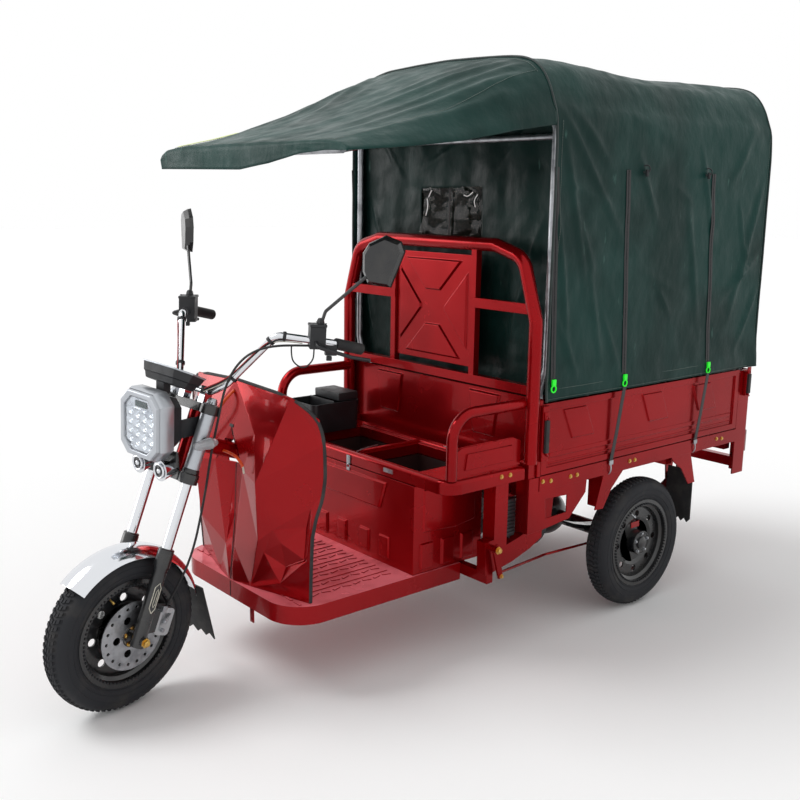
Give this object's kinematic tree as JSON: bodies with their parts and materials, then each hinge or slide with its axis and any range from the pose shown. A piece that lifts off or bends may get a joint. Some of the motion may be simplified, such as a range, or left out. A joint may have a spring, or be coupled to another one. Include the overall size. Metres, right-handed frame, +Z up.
{
  "type": "cargo tricycle",
  "caption": "Electric cargo tricycle with a fork and handlebar, open seat box, load bed with drop tailgate and a hooped fabric cover with awning.",
  "frame": {"origin": "on the ground under the middle of the vehicle", "axes": "+X forward, +Y to the vehicle's left, +Z up"},
  "size_m": [2.7703, 1.04, 1.9585],
  "materials": {
    "black_paint": "satin black",
    "black_plastic": "grained",
    "cast_alloy": "as cast",
    "chrome": "polished",
    "clear_lens": "clear",
    "clear_sheet": "soft clear sheet",
    "green_fabric": "coated, slight sheen",
    "lamp_glass": "clear",
    "red_lens": "clear red",
    "red_paint": "gloss candy red",
    "rubber": "matt",
    "silver_paint": "satin silver",
    "steel": "zinc plated",
    "tyre_rubber": "matt",
    "webbing": "woven"
  },
  "bodies": {
    "chassis": {"main_frame": "red_paint", "floor_pan": "red_paint", "front_shield": "red_paint", "seat_box": "red_paint", "seat_deck": "red_paint", "armrests": "red_paint", "storage_tray": "black_plastic", "backrest_frame": "red_paint", "backrest_panel": "red_paint", "bed_frame": "red_paint", "bed_floor": "red_paint", "bed_front_wall": "red_paint", "side_boards": "red_paint", "fender_plates": "red_paint", "rear_mudflaps": "rubber", "board_latches": "red_paint", "cover_roof": "green_fabric", "cover_sides": "green_fabric", "rear_curtain": "green_fabric", "front_curtain": "green_fabric", "clear_pane": "clear_sheet", "awning": "green_fabric", "cover_hoops": "steel", "cover_straps": "webbing", "rear_axle": "black_paint", "drive_motor": "black_paint", "leaf_springs": "black_paint", "brake_linkage": "red_paint", "tail_lamps": "red_lens", "gate_buffers": "rubber"},
    "steering": {"fork_yokes": "silver_paint", "fork_tubes": "chrome", "fork_legs": "black_paint", "front_fender": "chrome", "front_mudflap": "rubber", "handlebar": "chrome", "grips": "rubber", "brake_levers": "black_plastic", "mirrors": "black_plastic", "headlamp_body": "black_plastic", "headlamp_bezel": "silver_paint", "headlamp_lens": "lamp_glass", "horns": "chrome", "dash_pod": "black_plastic", "indicators": "clear_lens", "brake_caliper": "cast_alloy", "brake_cable": "rubber"},
    "front_wheel": {"front_tyre": "tyre_rubber", "front_rim": "black_paint", "brake_disc": "steel"},
    "rear_wheel_left": {"rear_tyre_left": "tyre_rubber", "rear_rim_left": "black_paint"},
    "rear_wheel_right": {"rear_tyre_right": "tyre_rubber", "rear_rim_right": "black_paint"},
    "tailgate": {"tailgate": "red_paint"}
  },
  "joints": [
    {"name": "steering", "type": "hinge", "parent": "chassis", "child": "steering", "pos_m": [1.11132, 0, 0.23246], "axis": [-0.3584, 0, 0.9336], "range_deg": [-51, 29]},
    {"name": "front_wheel_spin", "type": "hinge", "parent": "steering", "child": "front_wheel", "pos_m": [1.1434, 0.00668, 0.24477], "axis": [-0.1781, 0.9816, -0.0684], "continuous": true},
    {"name": "rear_left_spin", "type": "hinge", "parent": "chassis", "child": "rear_wheel_left", "pos_m": [-0.709, 0.448, 0.245], "axis": [0, 1, 0], "continuous": true},
    {"name": "rear_right_spin", "type": "hinge", "parent": "chassis", "child": "rear_wheel_right", "pos_m": [-0.709, -0.448, 0.245], "axis": [0, 1, 0], "continuous": true},
    {"name": "tailgate_hinge", "type": "hinge", "parent": "chassis", "child": "tailgate", "pos_m": [-1.365, 0, 0.608], "axis": [0, -1, 0], "range_deg": [0, 178]}
  ]
}
